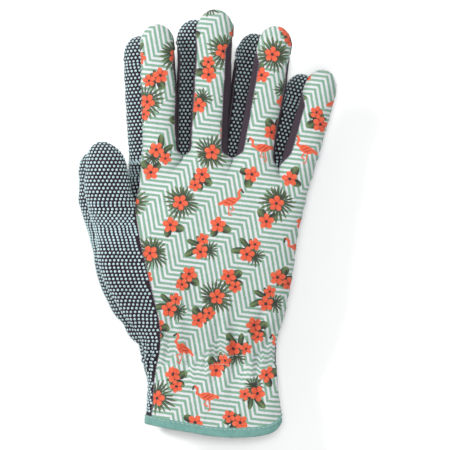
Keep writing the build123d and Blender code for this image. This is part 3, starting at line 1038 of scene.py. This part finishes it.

# -------------------- one glove

# For each finger and the thumb, (x, y) and a length: where its cloth would start to bend and over how long a
# stretch. settle works out the bend's start and end from them but makes no bend.
BENDS = {name: (values[0], 40.5, 14.0) for name, values in FINGERS.items()}
BENDS["thumb"] = (-64.2, CROTCH_Y + 0.2, 12.0)


def panel(ring, run):
    """The points and normals of one panel of a ring, with the next panel's first column as its last."""
    start, stop = ring.columns[run]
    take = np.arange(start, stop + 1) % ring.points.shape[1]
    return ring.points[:, take], ring.normals[:, take]


def settle(item, side, member, replaced=()):
    """Hides the CAD parts that a piece stands in for and gives a hand piece the hand's body. A finger's or
    the thumb's piece only has its placing baked in; its bend's start and end are worked out but not used.
    """
    if replaced:
        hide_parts(*(f"{side}_{node}" for node in replaced))
    if member == "hand":
        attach(item, f"{side}_hand")
        return
    base_x, start_y, reach = BENDS[member]
    start = place(np.array([base_x, start_y, 0.0]), side)
    end = place(np.array([base_x, start_y + reach, 0.0]), side)
    end[2] = start[2]
    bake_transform(item)


def make_finger(side, name, seed):
    """One finger: its printed back, its dotted palm side, its gussets and its seams."""
    ring = finger_ring(name, seed)
    piece = cloth_object(f"{side}_{name}_print", [(*panel(ring, "back"), False, CUT_EDGES)], PRINT, side)
    settle(piece, side, name, [f"{name}_back"])
    points, normals = panel(ring, "palm")
    piece = cloth_object(f"{side}_{name}_grip", [(points, normals, False, CUT_EDGES)], DOTTED, side)
    settle(piece, side, name, [f"{name}_palm"])
    spots = [dot_places(points, normals, FINGER_COLUMNS // 2, tip_margin=1.5)]
    settle(dots_object(f"{side}_{name}_dots", spots, DOTS, side), side, name)

    gussets = [run for run in ring.columns if run.endswith("gusset")]
    grids = [(*panel(ring, run), False, ("left", "right")) for run in gussets]
    piece = cloth_object(f"{side}_{name}_fourchettes", grids, GUSSET, side)
    settle(piece, side, name, [f"{name}_gusset" + "s" * (len(gussets) - 1)])
    lines = []
    for run in gussets:
        start, stop = ring.columns[run]
        stop %= ring.points.shape[1]
        for column in (start, stop):
            lines.append((ring.points[1:-10, column], ring.normals[1:-10, column]))
    settle(thread_object(f"{side}_{name}_seams", lines, GREY_THREAD, side, **OVERLOCK), side, name)


def make_thumb(side, seed):
    """The thumb: one piece of dotted cloth."""
    ring = thumb_ring(seed)
    piece = cloth_object(f"{side}_thumb_cloth", [(ring.points, ring.normals, True, ("foot",))], DOTTED, side)
    settle(piece, side, "thumb", ["thumb_back", "thumb_palm"])
    points, normals = panel(ring, "cloth")
    spots = []
    for half in (slice(0, THUMB_COLUMNS + 1), slice(THUMB_COLUMNS, 2 * THUMB_COLUMNS + 1)):
        found = dot_places(points[:, half], normals[:, half], THUMB_COLUMNS // 2, margin=0.6, tip_margin=1.5)
        spots.append(found)
    settle(dots_object(f"{side}_thumb_dots", spots, DOTS, side), side, "thumb")


def clear_of_tape(places, normals):
    """Leaves out the dots that the cuff's tape would cover."""
    keep = places[:, 1] - along(HEM_RISE, places[:, 0]) > CUFF_Y + TAPE_WIDTH + 1.4
    return places[keep], normals[keep]


def make_hand(side, seed):
    """The hand: its print, its dotted cloth, the elastic wrist, the cuff and the seams."""
    loops = hand_rings(seed)
    low, low_normals, low_last = loops["low"]
    high, high_normals, high_last = loops["high"]

    # The print runs the hand's whole length, so its rows are both loops' rows.
    points = np.concatenate([low[:, THUMB_COLUMNS:low_last + 1], high[1:, :high_last + 1]])
    normals = np.concatenate([low_normals[:, THUMB_COLUMNS:low_last + 1], high_normals[1:, :high_last + 1]])
    piece = cloth_object(f"{side}_hand_print", [(points, normals, False, CUT_EDGES)], PRINT, side)
    settle(piece, side, "hand", ["back_panel"])
    seam_line = (points[6:, 0], normals[6:, 0])

    # The dotted cloth wraps from the little finger's side under the palm and round the thumb to the print.
    take = np.concatenate([np.arange(low_last, low.shape[1]), np.arange(0, THUMB_COLUMNS + 1)])
    low_grid = (low[:, take], low_normals[:, take], False, CUT_EDGES)
    take_high = np.concatenate([np.arange(high_last, high.shape[1]), [0]])
    high_grid = (high[:, take_high], high_normals[:, take_high], False, ("left", "right"))
    piece = cloth_object(f"{side}_hand_grip", [low_grid, high_grid], DOTTED, side)
    settle(piece, side, "hand", ["palm_panel", "thumb_base"])
    middle = PRINT_COLUMNS // 2
    spots = [dot_places(low_grid[0], low_grid[1], middle), dot_places(high_grid[0], high_grid[1], middle)]
    spots = [clear_of_tape(*found) for found in spots]
    settle(dots_object(f"{side}_hand_dots", spots, DOTS, side), side, "hand")

    make_cuff(side, low, low_normals)
    row_y = low[:, :, 1].mean(axis=1)
    elastic_rows = (row_y > ELASTIC_ROWS[0]) & (row_y < ELASTIC_ROWS[1])
    print_columns = slice(THUMB_COLUMNS + 3, low_last - 6)
    points, normals = low[elastic_rows, print_columns], low_normals[elastic_rows, print_columns]
    band = [(points - normals * (CLOTH + 0.15), normals, False, ("foot", "top", "left", "right"))]
    piece = cloth_object(f"{side}_elastic", band, ELASTIC, side, 0.9)
    settle(piece, side, "hand", ["wrist_elastic"])
    rows = [int(np.argmin(np.abs(low[:, middle, 1] - y))) for y in ELASTIC_STITCHES]
    lines = [(low[row, print_columns], low_normals[row, print_columns]) for row in rows]
    piece = thread_object(f"{side}_elastic_stitches", lines, PALE_THREAD, side, 1.8, 0.7, 0.17)
    settle(piece, side, "hand", ["elastic_stitching"])

    # The hand's seams: beside the print and down the little finger's side.
    side_seam = (np.concatenate([low[6:, low_last], high[1:, high_last]]),
                 np.concatenate([low_normals[6:, low_last], high_normals[1:, high_last]]))
    piece = thread_object(f"{side}_hand_seams", [seam_line, side_seam], GREY_THREAD, side, **OVERLOCK)
    settle(piece, side, "hand", ["index_middle_web", "middle_ring_web", "ring_little_web"])


def make_cuff(side, low, normals):
    """Tape folded over the cuff's edge, with its sewing line."""
    rows = max(4, int(round(TAPE_WIDTH / ROW_STEP)))
    outside = [low[k] + normals[k] * 0.5 for k in range(rows, 0, -1)]
    edge = low[0]
    down = np.array([0.0, -0.55, 0.0])
    turn = [edge + normals[0] * 0.55, edge + normals[0] * 0.3 + down, edge - normals[0] * 0.9 + down,
            edge - normals[0] * (CLOTH + 0.5)]
    inside = [low[k] - normals[k] * (CLOTH + 0.45) for k in range(1, rows + 1)]
    tuck = [low[rows] + normals[rows] * 0.05]
    sheet = np.stack(tuck + outside + turn + inside)[::-1]
    around = ring_normals(sheet)
    piece = cloth_object(f"{side}_binding", [(sheet, around, True, ("foot", "top"))], TAPE, side, 0.2)
    settle(piece, side, "hand", ["cuff_binding"])
    row = rows - 1
    line_normals = np.concatenate([normals[row], normals[row, :1]])
    line = np.concatenate([low[row], low[row, :1]]) + line_normals * 0.55
    seams = [(line, line_normals)]
    piece = thread_object(f"{side}_binding_stitches", seams, PALE_THREAD, side, 1.9, 0.8, 0.2)
    settle(piece, side, "hand", ["binding_stitching"])


for glove_side, first_seed in (("right", 11), ("left", 411)):
    make_hand(glove_side, first_seed)
    make_thumb(glove_side, first_seed + 40)
    for finger_number, finger in enumerate(FINGERS):
        make_finger(glove_side, finger, first_seed + 60 + 10 * finger_number)

# -------------------- floor, camera and light

CAMERA_HEIGHT = 1.5
VIEW_WIDTH = 0.2547         # what the picture takes in at the upper glove's height
UPPER_HEIGHT = 0.034
FLOOR_REACH = 3.0

floor_mesh = bpy.data.meshes.new("floor")
floor_corners = [(x * FLOOR_REACH, y * FLOOR_REACH, 0) for x, y in ((-1, -1), (1, -1), (1, 1), (-1, 1))]
floor_mesh.from_pydata(floor_corners, [], [(0, 1, 2, 3)])
floor = bpy.data.objects.new("floor", floor_mesh)
bpy.context.scene.collection.objects.link(floor)
floor_nodes = Nodes("floor")
floor_mesh.materials.append(floor_nodes.finish((0.97, 0.97, 0.97, 1.0), 0.9))

camera_data = bpy.data.cameras.new("camera")
camera = bpy.data.objects.new("camera", camera_data)
bpy.context.scene.collection.objects.link(camera)
camera.location = (ROW_SHIFT[0] * MM, ROW_SHIFT[1] * MM, CAMERA_HEIGHT)
camera_data.sensor_width = 36.0
camera_data.lens = camera_data.sensor_width * (CAMERA_HEIGHT - UPPER_HEIGHT) / VIEW_WIDTH
camera_data.clip_start = 0.01
bpy.context.scene.camera = camera


def area_light(name, location, size, power, color):
    """A round soft lamp that points at the middle of the gloves."""
    data = bpy.data.lights.new(name, "AREA")
    data.shape = "DISK"
    data.size = size
    data.energy = power
    data.color = color
    lamp = bpy.data.objects.new(name, data)
    bpy.context.scene.collection.objects.link(lamp)
    lamp.location = location
    lamp.rotation_euler = (-Vector(location)).to_track_quat("-Z", "Y").to_euler()


area_light("key", (-0.9, 0.6, 0.9), 0.45, 15.0, (1.0, 0.99, 0.97))
area_light("top", (0.05, 0.1, 2.0), 0.5, 26.0, (1.0, 1.0, 1.0))
area_light("fill", (0.9, -0.6, 1.2), 1.2, 2.0, (0.97, 0.98, 1.0))

world = bpy.data.worlds.new("studio")
world.use_nodes = True
world.node_tree.nodes["Background"].inputs[0].default_value = (1, 1, 1, 1)
world.node_tree.nodes["Background"].inputs[1].default_value = 0.32
bpy.context.scene.world = world
bpy.context.scene.view_settings.view_transform = "Standard"
